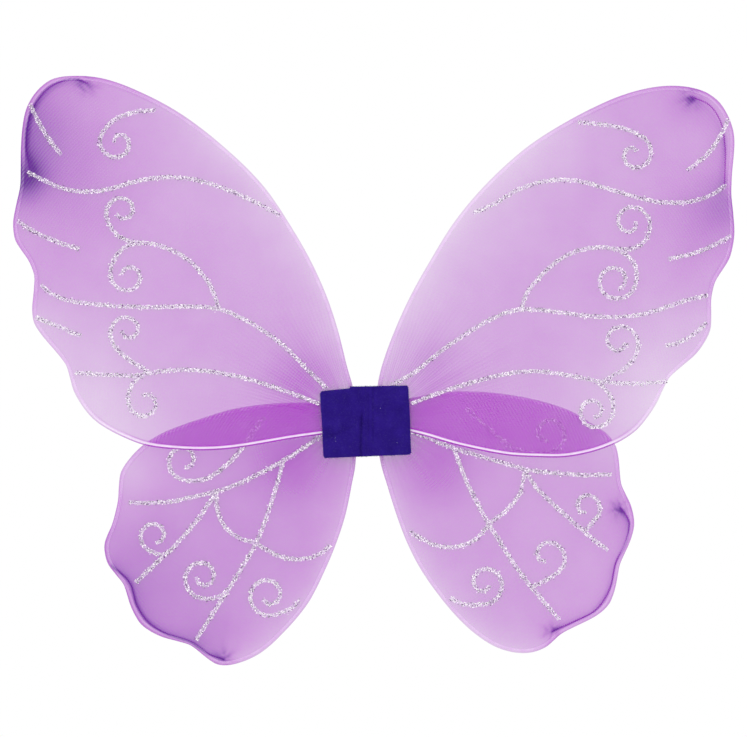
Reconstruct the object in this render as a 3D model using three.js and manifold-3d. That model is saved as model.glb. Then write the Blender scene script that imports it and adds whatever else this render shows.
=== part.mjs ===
// Child's fairy wings: four wire loops in nylon sleeves with glitter scrolls, joined at a
// felt block. Millimetres. X to the right seen from the decorated side, Y toward the wearer,
// Z up. The origin is the middle of the block's back face, which lies against the wearer.

import * as THREE from 'three';
import { mergeVertices } from 'three/addons/utils/BufferGeometryUtils.js';
import Module from 'manifold-3d';

const wasm = await Module();
wasm.setup();

// Driving dimensions
const GAP = 0.3;
const WIRE_RADIUS = 1.0;
const SLEEVE_WALL = 0.4;
const SLEEVE_HALF = WIRE_RADIUS + GAP + SLEEVE_WALL;
const HINGE_X = 7.5;
const HINGE_Y = -10.5;
const PLANE_STEP = 2.5;
const UPPER_Y = HINGE_Y - PLANE_STEP;
const LOWER_Y = HINGE_Y + PLANE_STEP;
const UPPER_MOUTH = { z: 0.5, radius: 14 };
const LOWER_MOUTH = { z: 4, radius: 20 };
const MOUTH_CUTTER = { depth: 30, segments: 24 };
const POINTS_PER_SPAN = 2;
const WIRE_SIDES = 6;
const CURL_STEP_DEGREES = 32;
const RIBBON_STEP = { curl: 5, stroke: 8, seam: 6 };
const GLITTER_WIDTH = 2.6;
const GLITTER_HEIGHT = 0.7;
const SEAM_WIDTH = 1.2;
const SEAM_HEIGHT = 0.5;
const FELT = 1.2;
const FRONT_COVER_Y = -16;
const CARD = { halfWidth: 10, halfHeight: 19, back: -2.8, thickness: 1.3 };
const SPINE = { halfWidth: 2.2, halfHeight: 19, front: -14, back: -4.4 };
const LASHING = { inner: 3.85, bump: 1.1, turns: 2, pitch: 1.1, segments: 16 };
const UPPER_LASHING_Z = 0;
const LOWER_LASHING_Z = 11.3;
const STRAP = { x: 6.2, width: 7, thickness: 1, stepsPerSpan: 3 };
const TACK = { width: 6, height: 2.4, depth: 0.5, z: 11 };

// The wires' ends inside the block, [distance out from the hinge axis, y, z]. Each wire starts
// as the upright run that turns in its lashing, and its far end is tucked in beside that run.
const UPPER_RUN = [[0, HINGE_Y, -3], [0, HINGE_Y, 0.5], [0, HINGE_Y, 4], [0, UPPER_Y, 8.5]];
const UPPER_TUCK = [
  [6.5, UPPER_Y, -4.6], [2.5, UPPER_Y, -4.2], [0.3, UPPER_Y, -2.4], [0, UPPER_Y, 1.5],
];
const LOWER_RUN = [
  [0, HINGE_Y, 13.5], [0, HINGE_Y, 10.8], [0, HINGE_Y, 8], [0, LOWER_Y, 3.5], [0, LOWER_Y, -6],
];
const LOWER_TUCK = [
  [6.5, LOWER_Y, 8.6], [2.5, LOWER_Y, 8.1], [0.3, LOWER_Y, 9.8], [0, LOWER_Y, 13.5],
];

const COLOURS = {
  nylon: 0xd6aee2,
  coating: 0xe6d9f0,
  glitter: 0xb9b4c4,
  seam: 0x6b3f92,
  felt: 0x281576,
  card: 0xb9a98a,
  thread: 0xd9d3e2,
  elastic: 0xf0edf4,
  tack: 0x53308f,
};

const FINISH = {
  nylon: { roughness: 0.55, metalness: 0, transparent: true, opacity: 0.6 },
  glitter: { roughness: 0.35, metalness: 0.6 },
  felt: { roughness: 0.95, metalness: 0 },
};

// Sleeve edges, [x, z], from the leading root round the tip to the trailing root
const UPPER_LEFT_EDGE = [
  [-5.8, 6], [-8.8, 23.5], [-12.5, 36.5], [-18.5, 60.5], [-26.5, 84.5], [-37.5, 108.5],
  [-51.5, 132.5], [-68, 156.5], [-92, 180.5], [-123, 204.5], [-153.5, 220.5], [-175.5, 228],
  [-195.5, 229.5], [-209, 227], [-220, 217.5], [-226.5, 204], [-229, 180], [-229.5, 156],
  [-234, 134], [-232.5, 120], [-224.5, 108], [-220, 96], [-221.5, 76.5], [-220, 65],
  [-211, 52.5], [-199, 37.5], [-194, 20.5], [-184, 5], [-174.5, -3], [-158, -11.5], [-145, -16],
  [-130, -18], [-110, -19], [-90.5, -18], [-70.5, -15], [-50.5, -11.5], [-29, -8.5], [-9, -6],
];
const UPPER_RIGHT_EDGE = [
  [5.8, 6], [7.6, 23.5], [10.5, 37], [19, 60.5], [30, 84.5], [43.5, 108.5], [58.5, 132.5],
  [78.5, 156.5], [104.5, 180.5], [128.5, 196.5], [159.5, 212.5], [181, 220], [202, 223],
  [222.5, 220], [235, 211.5], [243, 196], [244.5, 184], [243, 166], [242.5, 150], [244.5, 126],
  [241, 108], [232, 93.5], [229, 80], [228.5, 61], [218.5, 44.5], [201.5, 29.5], [193, 12.5],
  [181.5, -3.5], [172, -11], [162, -16], [148.5, -20.5], [132, -23.5], [115.5, -23.5],
  [95.5, -22.5], [75.5, -19], [56, -14.5], [29, -6.8], [9, -5.8],
];
const LOWER_LEFT_EDGE = [
  [-9, 12], [-32.5, 12.7], [-50.5, 12.7], [-69, 11.5], [-90.5, 8], [-110, 2], [-130, -5],
  [-141, -10.5], [-150, -17], [-158, -25.5], [-163.5, -35], [-165, -52], [-169, -68.5],
  [-174, -81.5], [-171.5, -95], [-161.5, -108], [-157, -121.5], [-149.5, -135], [-135, -143.5],
  [-117.5, -148.5], [-107.5, -156], [-99, -161.5], [-88, -161.5], [-71, -154.5], [-56, -141.5],
  [-39, -121.5], [-28.5, -101.5], [-20, -81.5], [-13.5, -61.5], [-9.5, -42], [-7, -28.5],
  [-5.8, -4],
];
const LOWER_RIGHT_EDGE = [
  [9, 14], [30, 16], [56, 20], [75.5, 20], [95.5, 18], [115.5, 14], [135.5, 7.5], [150, -1],
  [161, -8.5], [166.5, -17], [168.5, -28.5], [170, -42], [176, -55], [178.5, -68.5],
  [175, -81.5], [169, -95], [166.5, -108], [162, -121], [153.5, -129], [142, -135],
  [129.5, -141.5], [120.5, -149.5], [110.5, -153.5], [98, -153.5], [83.5, -148.5], [65.5, -135],
  [48, -115], [34.5, -95], [25, -75], [18, -55], [14, -42], [10, -28.5], [5.8, -4],
];

// Toe seams, [x, z]: the line where each sleeve's toe was closed, just inside its wire.
// Their stitches stand on the sleeve's back.
const TOE_SEAMS = {
  upper_left: [
    [-184.5, 224.5], [-194, 227.5], [-209.5, 222.5], [-219.5, 211], [-224.5, 197.5],
    [-225.5, 182.5], [-223.5, 168.5],
  ],
  upper_right: [[215.5, 216], [228, 210.5], [235.5, 199.5], [238.5, 183], [238.5, 167], [238, 157]],
  lower_left: [
    [-168.5, -96.5], [-157.5, -107], [-152.5, -122.5], [-145.5, -133], [-134.5, -140.5],
    [-116, -147], [-104.5, -155], [-94.5, -158.5],
  ],
  lower_right: [
    [169, -57], [175, -66], [173, -81], [166.5, -93.5], [162.5, -111], [153, -125.5],
    [139, -133], [123.5, -140],
  ],
};

// Glitter curls: [centre x, centre z, first radius, last radius, start angle, turn, tightening].
// Angles are degrees, counter-clockwise seen from the decorated side.
const CURLS = {
  upperLeftTop: [-164.7, 185.1, 12.1, 2.5, 134, 400, 1.4],
  upperLeftMidUp: [-161.2, 139.9, 16.2, 4.8, 255, -405, 0.45],
  upperLeftMidDown: [-157.2, 96.6, 17, 5, 113, 415, 0.5],
  upperLeftLowUp: [-157.8, 60.5, 20.4, 4, 276, -450, 0.4],
  upperLeftLowDown: [-146.4, 12.7, 13.3, 5.2, 141, 335, 0.65],
  lowerLeftHigh: [-120.8, -25.6, 15, 5.3, 294, -380, 0.6],
  lowerLeftOuter: [-140.5, -75.4, 12.4, 5.5, 277, -360, 0.6],
  lowerLeftMiddle: [-108.5, -103, 17.8, 4.5, 315, -495, 0.6],
  lowerLeftInner: [-64.9, -115.5, 13.6, 4.4, 290, -435, 1.3],
  upperRightTop: [177.8, 177.7, 12.2, 2.5, 61, -385, 1.3],
  upperRightMidDown: [164.9, 93.6, 16.8, 6.3, 36, -465, 0.6],
  upperRightMidUp: [175.2, 132, 16.3, 4.1, 295, 435, 0.7],
  upperRightLowUp: [167.8, 53.3, 19.8, 5, 275, 430, 0.45],
  upperRightLowDown: [150.9, 7, 14.8, 4.3, 34, -480, 0.7],
  lowerRightHigh: [121.1, -8.1, 12.4, 4.7, 281, 355, 1.1],
  lowerRightOuter: [146.1, -56.4, 11.6, 4.1, 290, 345, 0.8],
  lowerRightMiddle: [120.1, -89.7, 13.4, 3.1, 290, 335, 1.3],
  lowerRightInner: [78.7, -107.2, 15.3, 4.2, 251, 445, 0.8],
};

// Glitter strokes: each piece is a list of strokes that touch, [stem points, curl or none]
const GLITTER = {
  upper_left: {
    tip: [[[[-222.5, 210.5], [-217, 198.5], [-210.5, 188], [-202, 177]]]],
    top_curl: [[[[-139.5, 206.5], [-152.5, 205.5], [-165.5, 201]], 'upperLeftTop']],
    high_vein: [[[
      [-224.5, 166], [-214.5, 160.5], [-202, 155], [-187.5, 152.5], [-173.5, 153.5],
      [-157.5, 158], [-141.5, 161.5], [-126, 162], [-108.5, 159.5], [-91, 153.5],
      [-75, 146.5], [-57.5, 137],
    ]]],
    edge_high: [[[[-231, 133], [-219, 125.5], [-206.5, 120], [-190, 114.5]]]],
    main_scroll: [
      [[
        [-215.5, 91], [-208, 84.5], [-195.5, 80], [-179.5, 78], [-160.5, 76.5], [-140, 76],
        [-119.5, 76.5], [-97.5, 75], [-83, 69], [-69, 61], [-54.5, 50.5], [-42, 38], [-26, 22],
      ]],
      [[
        [-97.5, 75], [-102, 88], [-108.5, 98], [-118, 107.5], [-130.5, 114.5], [-145, 118.5],
        [-157.5, 117],
      ], 'upperLeftMidDown'],
      [[[-145, 118.5], [-156, 119.5]], 'upperLeftMidUp'],
    ],
    edge_low: [[[[-219, 69.5], [-208, 65], [-189, 57]]]],
    low_scroll: [
      [[
        [-193, 32.5], [-176.5, 31.5], [-154.5, 30.5], [-140, 33], [-122.5, 34.5],
        [-103.5, 33.5], [-84.5, 30], [-65.5, 24.5], [-46.5, 18], [-31, 12],
      ]],
      [[[-143, 32.5], [-148, 35.5]], 'upperLeftLowUp'],
      [[[-147, 31.5], [-153.5, 27]], 'upperLeftLowDown'],
    ],
  },
  upper_right: {
    tip: [[[[240.5, 201], [234.5, 188.5], [226.5, 177.5], [213, 166.5]]]],
    top_curl: [[[[140.5, 198.5], [157, 197], [172.5, 194]], 'upperRightTop']],
    high_vein: [[[
      [238.5, 157], [229.5, 150.5], [215.5, 146], [195, 145.5], [177.5, 149.5], [160, 154.5],
      [144.5, 159], [130, 160.5], [116, 159], [100, 153.5], [86, 145], [71, 138],
    ]]],
    edge_high: [[[[242, 123.5], [232.5, 118], [217, 111.5], [200.5, 108]]]],
    main_scroll: [
      [[
        [226.5, 84], [210.5, 80], [195, 74.5], [179, 70.5], [163.5, 69.5], [144.5, 70.5],
        [125.5, 73], [103, 74.5], [90.5, 71.5], [76.5, 64.5], [62, 55.5], [46.5, 44.5],
        [32, 32.5], [17, 24.5],
      ]],
      [[
        [103, 74.5], [106.5, 85], [114.5, 95], [125.5, 105.5], [138, 112.5], [150.5, 115.5],
        [163.5, 115], [172.5, 111],
      ], 'upperRightMidDown'],
      [[[163.5, 115], [175, 114.5]], 'upperRightMidUp'],
    ],
    edge_low: [[[[226, 66], [218.5, 59], [209, 53], [199, 50.5]]]],
    low_scroll: [
      [[
        [199.5, 27], [187, 25.5], [171, 25.5], [157, 26.5], [141, 29.5], [124, 32.5],
        [106.5, 33.5], [89, 31], [71.5, 26.5], [54, 21], [40, 16], [30, 12],
      ]],
      [[[157, 26.5], [165, 31.5]], 'upperRightLowUp'],
      [[[152, 27.5], [158, 22.5]], 'upperRightLowDown'],
    ],
  },
  lower_left: {
    high_curl: [[[
      [-67.5, 3], [-75, -6.5], [-82.5, -18], [-89.5, -26], [-98.5, -33.5], [-106, -38],
    ], 'lowerLeftHigh']],
    scroll: [
      [[
        [-29, -9], [-41.5, -17.5], [-55, -26], [-68, -33], [-84.5, -41], [-99.5, -46.5],
        [-113.5, -49.5], [-129, -53], [-144, -54], [-157.5, -53.5],
      ]],
      [[[-55, -26], [-58.5, -39], [-63, -54], [-72.5, -79.5], [-88, -106], [-113, -145]]],
      [[[-99.5, -46.5], [-108.5, -60.5], [-126.5, -82], [-139, -93.5], [-153, -107]]],
      [[
        [-99.5, -46.5], [-98.5, -60.5], [-92, -72], [-83, -78], [-73, -80.5], [-63, -87],
        [-52.5, -91], [-40, -91], [-30, -87.5], [-23.5, -82],
      ]],
      [[[-131, -86.5], [-135, -88.5]], 'lowerLeftOuter'],
      [[[-92, -111.5], [-93.8, -113.5]], 'lowerLeftMiddle'],
    ],
    low_curl: [[[[-44, -119], [-50, -124]], 'lowerLeftInner']],
  },
  lower_right: {
    high_curl: [[[
      [66.5, 9.5], [76.5, 0], [86.5, -9], [97, -16.5], [107, -21], [116, -21.5],
    ], 'lowerRightHigh']],
    scroll: [
      [[
        [30.5, -6.5], [43.5, -11.5], [57.5, -17.5], [71.5, -21.5], [86.5, -26], [103, -31],
        [114.5, -33], [130, -34.5], [145, -35.5], [163, -35],
      ]],
      [[
        [58.5, -18.5], [62.5, -28.5], [67.5, -41.5], [81.5, -67.5], [99.5, -96],
        [108, -107.5], [128.5, -131.5],
      ]],
      [[[104.5, -31.5], [113.5, -44], [133.5, -63], [154, -80.5], [161, -85.5]]],
      [[
        [105.5, -32], [103, -46.5], [98, -54], [90.5, -61.5], [81.5, -68], [76.5, -75.5],
        [69, -80.5], [58.5, -83.5], [47, -82.5], [37, -78], [29, -73],
      ]],
      [[[145.5, -73], [148.5, -69.5]], 'lowerRightOuter'],
      [[[110, -110], [121, -104.5]], 'lowerRightMiddle'],
    ],
    low_curl: [[[[56, -117], [64, -121.2]], 'lowerRightInner']],
  },
};

// Outlines of the felt covers, [x, z], not quite square, as hand-cut felt is. The back one
// is shorter, so that the straps come out past its upper and lower edges.
const FRONT_COVER_OUTLINE = [
  [-30.3, 20.2], [-11, 22.2], [-10.4, 23.4], [28.2, 24], [30, -21.6], [-28.1, -24],
];
const BACK_COVER_OUTLINE = [[-29.4, 14.2], [28.6, 14.4], [29.4, -15.4], [-28.6, -15.6]];

// A curve whose even steps fall on its own points, so that a wire and the sleeve round it
// share their corners
class RouteCurve extends THREE.CatmullRomCurve3 {
  getPointAt(part, target) {
    return this.getPoint(part, target);
  }

  getTangentAt(part, target) {
    return this.getTangent(part, target);
  }
}

// One shoulder strap's run, [y, z]: up from its sewn end between card and back cover, out
// over the shoulder, back under the arm and in again
const STRAP_RUN = [
  [-2, 7], [-2, 14], [-1.2, 17], [1.2, 18.8], [12, 19.8], [50, 20.6], [82, 18.8],
  [97, 11], [101, -1], [97, -12], [82, -19.6], [50, -21.4], [12, -20.8], [1.2, -20],
  [-1.2, -18.2], [-2, -15.2], [-2, -8],
];

function material(name, colour) {
  const look = { roughness: 0.7, metalness: 0, ...(FINISH[name] ?? {}) };
  return new THREE.MeshStandardMaterial({ color: colour ?? COLOURS[name], ...look });
}

function node(name, geometry, look) {
  const mesh = new THREE.Mesh(geometry, look);
  mesh.name = name;
  return mesh;
}

function toSolid(geometry) {
  const bare = geometry.index ? geometry.toNonIndexed() : geometry.clone();
  bare.deleteAttribute('normal');
  bare.deleteAttribute('uv');
  const merged = mergeVertices(bare, 1e-4);
  return new wasm.Manifold(new wasm.Mesh({
    numProp: 3,
    vertProperties: new Float32Array(merged.attributes.position.array),
    triVerts: new Uint32Array(merged.index.array),
  }));
}

function toGeometry(solid) {
  const mesh = solid.getMesh();
  const geometry = new THREE.BufferGeometry();
  geometry.setAttribute('position', new THREE.BufferAttribute(mesh.vertProperties, 3));
  geometry.setIndex(new THREE.BufferAttribute(mesh.triVerts, 1));
  geometry.computeVertexNormals();
  return geometry;
}

// A flat piece standing in the XZ plane, from y = back - thickness to y = back
function standingPlate(points, back, thickness) {
  const shape = new THREE.Shape(points.map(([x, z]) => new THREE.Vector2(x, z)));
  const plate = new THREE.ExtrudeGeometry(shape, { depth: thickness, bevelEnabled: false });
  plate.rotateX(Math.PI / 2);
  plate.translate(0, back, 0);
  return plate;
}

function box(low, high) {
  const size = high.map((value, axis) => value - low[axis]);
  const geometry = new THREE.BoxGeometry(...size);
  geometry.translate(...low.map((value, axis) => value + size[axis] / 2));
  return geometry;
}

function smoothEdge(points) {
  const curve = new THREE.CatmullRomCurve3(
    points.map(([x, z]) => new THREE.Vector3(x, 0, z)), false, 'centripetal',
  );
  const steps = POINTS_PER_SPAN * (points.length - 1);
  return curve.getPoints(steps).map((point) => [point.x, point.z]);
}

// Moves every point of an open edge sideways, toward the inside of the wing it bounds
function inset(points, distance, side) {
  return points.map((point, index) => {
    const before = points[Math.max(index - 1, 0)];
    const after = points[Math.min(index + 1, points.length - 1)];
    const along = new THREE.Vector2(after[0] - before[0], after[1] - before[1]).normalize();
    return [point[0] + side * along.y * distance, point[1] - side * along.x * distance];
  });
}

function outsideMouth(points, side, mouth) {
  return points.filter(([x, z]) => Math.hypot(x - side * HINGE_X, z - mouth.z) > mouth.radius);
}

function wireRoute(edge, side, upper) {
  const planeY = upper ? UPPER_Y : LOWER_Y;
  const mouth = upper ? UPPER_MOUTH : LOWER_MOUTH;
  const loop = outsideMouth(inset(edge, SLEEVE_HALF, side), side, mouth);
  if (!upper) loop.reverse();
  const inBlock = ([out, y, z]) => [side * (HINGE_X + out), y, z];
  return [
    ...(upper ? UPPER_RUN : LOWER_RUN).map(inBlock),
    ...loop.map(([x, z]) => [x, planeY, z]),
    ...(upper ? UPPER_TUCK : LOWER_TUCK).map(inBlock),
  ];
}

function roundWire(route) {
  const path = new RouteCurve(
    route.map((point) => new THREE.Vector3(...point)), false, 'centripetal',
  );
  const section = new THREE.Shape();
  for (let corner = 0; corner < WIRE_SIDES; corner += 1) {
    const angle = (corner / WIRE_SIDES) * 2 * Math.PI;
    const place = [WIRE_RADIUS * Math.cos(angle), WIRE_RADIUS * Math.sin(angle)];
    if (corner === 0) section.moveTo(...place);
    else section.lineTo(...place);
  }
  return new THREE.ExtrudeGeometry(section, { steps: route.length - 1, extrudePath: path });
}

// A flat bag round one wire loop, open at its mouth inside the block
function sleeve(edge, side, planeY, mouth) {
  const root = [side * HINGE_X, mouth.z];
  const outside = toSolid(standingPlate(
    [...edge, root], planeY + SLEEVE_HALF, 2 * SLEEVE_HALF,
  ));
  const hollowHalf = SLEEVE_HALF - SLEEVE_WALL;
  const hollow = toSolid(standingPlate(
    [...inset(edge, SLEEVE_WALL, side), root], planeY + hollowHalf, 2 * hollowHalf,
  ));
  const cutter = new THREE.CylinderGeometry(
    mouth.radius, mouth.radius, MOUTH_CUTTER.depth, MOUTH_CUTTER.segments,
  );
  cutter.translate(side * HINGE_X, planeY, mouth.z);
  return toGeometry(outside.subtract(hollow).subtract(toSolid(cutter)));
}

function curlPoints([centreX, centreZ, firstRadius, lastRadius, start, turn, tightening]) {
  const count = Math.round(Math.abs(turn) / CURL_STEP_DEGREES);
  const points = [];
  for (let step = 0; step <= count; step += 1) {
    const part = step / count;
    const radius = firstRadius + (lastRadius - firstRadius) * part ** tightening;
    const angle = THREE.MathUtils.degToRad(start + turn * part);
    points.push([centreX + radius * Math.cos(angle), centreZ + radius * Math.sin(angle)]);
  }
  return points;
}

// A flat ribbon of the given width and height whose middle runs in the plane y = middleY
function ribbon(points, middleY, width, height, step) {
  const path = new THREE.CatmullRomCurve3(
    points.map(([x, z]) => new THREE.Vector3(x, middleY, z)), false, 'centripetal',
  );
  const section = new THREE.Shape();
  section.moveTo(-height / 2, -width / 2);
  section.lineTo(height / 2, -width / 2);
  section.lineTo(height / 2, width / 2);
  section.lineTo(-height / 2, width / 2);
  const steps = Math.max(3, Math.round(path.getLength() / step));
  return new THREE.ExtrudeGeometry(section, { steps, extrudePath: path });
}

// Glitter lies on the sleeve's front face
function glitterPiece(strokes, planeY) {
  const middleY = planeY - SLEEVE_HALF - GAP - GLITTER_HEIGHT / 2;
  const ribbons = strokes.map(([stem, curl]) => {
    const points = curl ? [...stem, ...curlPoints(CURLS[curl])] : stem;
    const step = curl ? RIBBON_STEP.curl : RIBBON_STEP.stroke;
    return toSolid(ribbon(points, middleY, GLITTER_WIDTH, GLITTER_HEIGHT, step));
  });
  return toGeometry(ribbons.reduce((joined, next) => joined.add(next)));
}

// Thread wound round the upright wires, as one ribbed ring
function lashing(side, z) {
  const profile = [];
  const half = (LASHING.turns * LASHING.pitch) / 2;
  profile.push(new THREE.Vector2(LASHING.inner, half));
  profile.push(new THREE.Vector2(LASHING.inner, -half));
  for (let turn = 0; turn < LASHING.turns; turn += 1) {
    const low = -half + turn * LASHING.pitch;
    profile.push(new THREE.Vector2(LASHING.inner + LASHING.bump * 0.6, low));
    profile.push(new THREE.Vector2(LASHING.inner + LASHING.bump, low + LASHING.pitch / 2));
  }
  profile.push(new THREE.Vector2(LASHING.inner + LASHING.bump * 0.6, half));
  profile.push(profile[0].clone());
  const ring = new THREE.LatheGeometry(profile, LASHING.segments);
  ring.rotateX(Math.PI / 2);
  ring.translate(side * HINGE_X, HINGE_Y, z);
  return ring;
}

function strap(side) {
  const path = new RouteCurve(
    STRAP_RUN.map(([y, z]) => new THREE.Vector3(0, y, z)), false, 'centripetal',
  );
  const section = new THREE.Shape();
  section.moveTo(-STRAP.width / 2, -STRAP.thickness / 2);
  section.lineTo(STRAP.width / 2, -STRAP.thickness / 2);
  section.lineTo(STRAP.width / 2, STRAP.thickness / 2);
  section.lineTo(-STRAP.width / 2, STRAP.thickness / 2);
  const steps = STRAP.stepsPerSpan * (STRAP_RUN.length - 1);
  const band = new THREE.ExtrudeGeometry(section, { steps, extrudePath: path });
  band.translate(side * STRAP.x, 0, 0);
  return band;
}

// The stitches that hold a strap's end to the card, standing on the card's front
function barTack(side, end) {
  const middleX = side * STRAP.x;
  const middleZ = end * TACK.z;
  const back = CARD.back - CARD.thickness - GAP;
  return box(
    [middleX - TACK.width / 2, back - TACK.depth, middleZ - TACK.height / 2],
    [middleX + TACK.width / 2, back, middleZ + TACK.height / 2],
  );
}

function wing(name, side, edgePoints, upper) {
  const group = new THREE.Group();
  const planeY = upper ? UPPER_Y : LOWER_Y;
  const edge = smoothEdge(edgePoints);
  const wire = roundWire(wireRoute(edge, side, upper));
  group.add(node(`wire_${name}`, wire, material('coating')));
  group.add(node(
    `sleeve_${name}`,
    sleeve(edge, side, planeY, upper ? UPPER_MOUTH : LOWER_MOUTH),
    material('nylon'),
  ));
  const seamY = planeY + SLEEVE_HALF + GAP + SEAM_HEIGHT / 2;
  const seam = ribbon(TOE_SEAMS[name], seamY, SEAM_WIDTH, SEAM_HEIGHT, RIBBON_STEP.seam);
  group.add(node(`toe_seam_${name}`, seam, material('seam')));
  for (const [piece, strokes] of Object.entries(GLITTER[name])) {
    const bead = glitterPiece(strokes, planeY);
    group.add(node(`glitter_${name}_${piece}`, bead, material('glitter')));
  }
  return group;
}

function centreBlock() {
  const group = new THREE.Group();
  const front = standingPlate(FRONT_COVER_OUTLINE, FRONT_COVER_Y, FELT);
  const back = standingPlate(BACK_COVER_OUTLINE, 0, FELT);
  group.add(node('front_cover', front, material('felt')));
  group.add(node('back_cover', back, material('felt')));
  group.add(node('stiffener_card', box(
    [-CARD.halfWidth, CARD.back - CARD.thickness, -CARD.halfHeight],
    [CARD.halfWidth, CARD.back, CARD.halfHeight],
  ), material('card')));
  group.add(node('spine_strip', box(
    [-SPINE.halfWidth, SPINE.front, -SPINE.halfHeight],
    [SPINE.halfWidth, SPINE.back, SPINE.halfHeight],
  ), material('card')));
  for (const [sideName, side] of [['left', -1], ['right', 1]]) {
    const thread = material('thread');
    group.add(node(`lashing_upper_${sideName}`, lashing(side, UPPER_LASHING_Z), thread));
    group.add(node(`lashing_lower_${sideName}`, lashing(side, LOWER_LASHING_Z), thread));
    group.add(node(`strap_${sideName}`, strap(side), material('elastic')));
    group.add(node(`bar_tack_top_${sideName}`, barTack(side, 1), material('tack')));
    group.add(node(`bar_tack_bottom_${sideName}`, barTack(side, -1), material('tack')));
  }
  return group;
}

const wings = new THREE.Group();
wings.add(wing('upper_left', -1, UPPER_LEFT_EDGE, true));
wings.add(wing('upper_right', 1, UPPER_RIGHT_EDGE, true));
wings.add(wing('lower_left', -1, LOWER_LEFT_EDGE, false));
wings.add(wing('lower_right', 1, LOWER_RIGHT_EDGE, false));
wings.add(centreBlock());

export default wings;
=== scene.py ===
"""Child's fairy wings: sheer violet nylon stretched on coated wire, silver glitter scrolls,
a felt block and two elastic shoulder straps. Metres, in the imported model's frame."""
import math
import random

import bmesh
import bpy
import numpy as np
from mathutils import Matrix, Vector


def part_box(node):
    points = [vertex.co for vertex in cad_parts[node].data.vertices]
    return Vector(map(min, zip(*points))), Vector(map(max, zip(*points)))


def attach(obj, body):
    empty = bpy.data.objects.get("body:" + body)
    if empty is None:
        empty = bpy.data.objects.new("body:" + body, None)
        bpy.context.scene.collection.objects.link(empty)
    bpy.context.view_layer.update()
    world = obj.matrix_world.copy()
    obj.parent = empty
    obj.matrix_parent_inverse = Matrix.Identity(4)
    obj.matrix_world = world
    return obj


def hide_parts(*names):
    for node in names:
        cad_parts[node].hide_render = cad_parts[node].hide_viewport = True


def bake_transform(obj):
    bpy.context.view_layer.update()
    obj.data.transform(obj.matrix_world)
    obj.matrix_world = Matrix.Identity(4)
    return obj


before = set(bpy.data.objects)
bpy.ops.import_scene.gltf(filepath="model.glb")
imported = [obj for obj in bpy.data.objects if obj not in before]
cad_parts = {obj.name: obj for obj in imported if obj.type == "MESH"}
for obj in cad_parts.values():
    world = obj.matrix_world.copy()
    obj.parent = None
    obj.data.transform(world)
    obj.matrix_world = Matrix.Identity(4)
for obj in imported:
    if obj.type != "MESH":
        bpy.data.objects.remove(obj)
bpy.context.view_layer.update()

MM = 0.001

# Camera: straight at the decorated side
VIEW_CENTRE = Vector((5 * MM, 0.0, 35.35 * MM))
VIEW_WIDTH = 495.2 * MM
VIEW_DISTANCE = 1.8
SENSOR = 36.0

# Wings
HINGE_X = 7.5 * MM
UPPER_MOUTH = (0.5 * MM, 14 * MM)
LOWER_MOUTH = (4 * MM, 20 * MM)
BAG_RADIUS = 1.42 * MM
BAG_INNER = 0.95 * MM
RIM_STEPS = [0.0, 0.15, 0.4, 0.8, 1.2, 1.6, 2.1, 2.6, 3.1, 3.7, 4.6]
RIM_THINNING = 0.05
RIM_REACH = 1.5 * MM
WALES = 188
COURSE_PITCH = 1.85 * MM
DRAWN_PITCH = 1.9 * MM
WALES_SHOWN = 0.12
STREAKS_SHOWN = 0.19
LEAST_COURSES = 0.013
EDGE_COUNT = 250
GATHER_STEPS = 12
GATHERS_CLOSE = 0.62
UPPER_TIE = 6.2 * MM
LOWER_TIE = 8.8 * MM
TIE_THREAD = 0.28 * MM
LASHING_THREAD = 0.45 * MM
SEAM_WIDTH = 1.2 * MM
SEAM_CORE = 0.22 * MM
SEAM_THREAD = 0.14 * MM
SEAM_PITCH = 1.5 * MM
SEAM_HALF_WIDTH = 0.55 * MM
SEAM_HALF_HEIGHT = 0.45 * MM
SAME_PLACE = 1e-5
SPAN_COUNT = 74

# Each wing: how densely its nylon covers. base is the share of light that two layers stop;
# patches and root are (x, z, radius, change) in millimetres, root where the gathers bunch up;
# courses is how much the knit's rows show where it is dense; pleats, how much the gathers do;
# fade is (edge, change, reach) where the stocking is stretched thinnest; drawn, on a lower
# wing, is the point round which the knit curves behind the upper wing, and how much it shows.
WINGS = {
    "upper_left": dict(
        side=-1, upper=True, base=0.62, flat=(0.17, 0.23), courses=0.21,
        patches=[
            (-228, 190, 30, 0.14), (-205, 212, 30, 0.05), (-232, 150, 18, 0.06),
            (-200, 160, 40, 0.1), (-195, -5, 56, -0.24), (-224, 60, 18, -0.1),
            (-227, 163, 14, 0.2),
        ],
        root=(-40, 28, 24, 0.16), fade=("lead", 0.22, 15), pleats=0.06,
    ),
    "upper_right": dict(
        side=1, upper=True, base=0.62, flat=(0.17, 0.23), courses=0.21,
        patches=[
            (240, 145, 22, 0.14), (214, 212, 18, 0.08), (238, 190, 20, 0.03),
            (215, 130, 32, 0.07), (205, 8, 52, -0.24), (236, 58, 18, -0.08),
        ],
        root=(42, 36, 22, 0.1), fade=("lead", 0.24, 22), pleats=0.06,
    ),
    "lower_left": dict(
        side=-1, upper=False, base=0.69, flat=(0.135, 0.16), courses=0.03,
        drawn=(13, -71, 0.24),
        patches=[
            (-150, -110, 36, 0.07), (-105, -152, 24, 0.06), (-158, -32, 22, -0.14),
        ],
        root=(-50, -24, 28, 0.13), fade=("trail", 0.2, 9), pleats=0.04,
    ),
    "lower_right": dict(
        side=1, upper=False, base=0.64, flat=(0.135, 0.16), courses=0.03,
        drawn=(-107, -114, 0.27),
        patches=[
            (172, -66, 12, 0.05), (162, -10, 18, -0.1),
        ],
        root=(48, -26, 28, 0.16), fade=("trail", 0.2, 9), pleats=0.04,
    ),
}

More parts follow.
